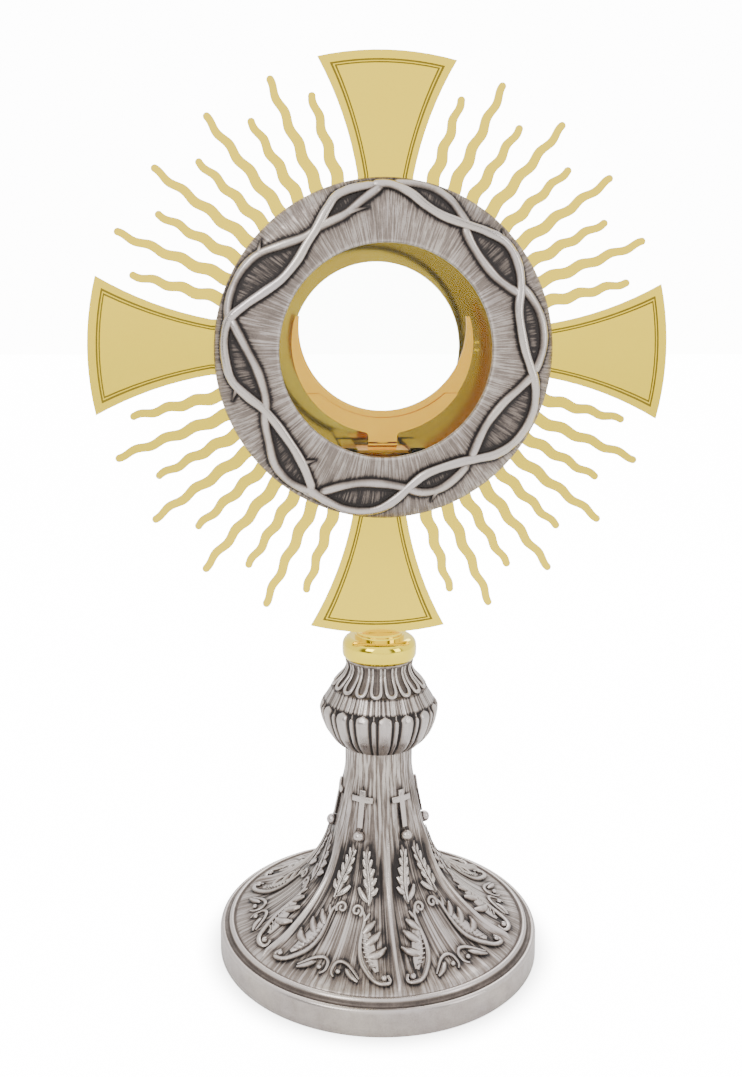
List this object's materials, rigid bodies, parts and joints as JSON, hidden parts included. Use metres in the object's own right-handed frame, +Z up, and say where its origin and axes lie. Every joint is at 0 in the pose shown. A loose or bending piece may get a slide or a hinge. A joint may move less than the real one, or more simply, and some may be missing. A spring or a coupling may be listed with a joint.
{
  "type": "monstrance",
  "caption": "Free-standing monstrance: a lobed relief foot, knop and collar carry a sunburst with cross arms around a glazed drum with a vine ring, lunette and rear door.",
  "frame": {"origin": "centre of the foot's underside, on the surface that it stands on", "axes": "+Z up along the stem, -Y towards the front (crown ring), +X to the right seen from the front"},
  "size_m": [0.294, 0.168, 0.465],
  "materials": {
    "antique_silver": "cast brass, silver plated and oxidised, dark in the recesses, brushed bright on the high parts",
    "sheet_gold": "pale gold plated sheet, mirror smooth with engraved borders",
    "polished_gold": "turned brass, gold plated and polished",
    "drum_gold": "drawn brass, gold plated, satin",
    "lunette_gold": "sheet, gold plated, satin polish",
    "steel": "zinc plated steel",
    "glass": "clear flat glass"
  },
  "bodies": {
    "stand": {"base_foot": "antique_silver", "tie_rod": "steel", "tie_washer": "steel", "tie_nut": "steel", "knop": "antique_silver", "collar": "polished_gold", "support_post": "sheet_gold", "sunburst_plate": "sheet_gold", "crown_ring": "antique_silver", "drum_shell": "drum_gold", "ring_screws": "steel", "front_glass": "glass", "guide_rail_left": "drum_gold", "guide_rail_right": "drum_gold", "drum_hinge_leaf": "polished_gold", "door_hinge_pin": "polished_gold", "door_catch": "polished_gold", "catch_screw": "steel"},
    "rear_door": {"rear_door_frame": "drum_gold", "door_hinge_leaf": "polished_gold", "door_rivets": "polished_gold", "rear_glass": "glass", "rear_glass_retainer": "polished_gold", "door_knob": "polished_gold"},
    "lunette": {"lunette_crescent": "lunette_gold", "lunette_foot": "lunette_gold", "lunette_rivets": "lunette_gold", "lunette_hinge_pin": "lunette_gold"},
    "host_clip": {"lunette_clip": "lunette_gold"}
  },
  "joints": [
    {"name": "door_hinge", "type": "hinge", "parent": "stand", "child": "rear_door", "pos_m": [0.0605, 0.0265, 0.318], "axis": [0, 0, -1], "range_deg": [0, 115]},
    {"name": "lunette_slide", "type": "slide", "parent": "stand", "child": "lunette", "axis": [0, 1, 0], "range_m": [0, 0.0605]},
    {"name": "clip_hinge", "type": "hinge", "parent": "lunette", "child": "host_clip", "pos_m": [0, -0.0085, 0.2697], "axis": [1, 0, 0], "range_deg": [0, 22]}
  ],
  "couplings": [
    {"joint": "lunette_slide", "follows": "door_hinge", "m_per_rad": 0.03}
  ]
}
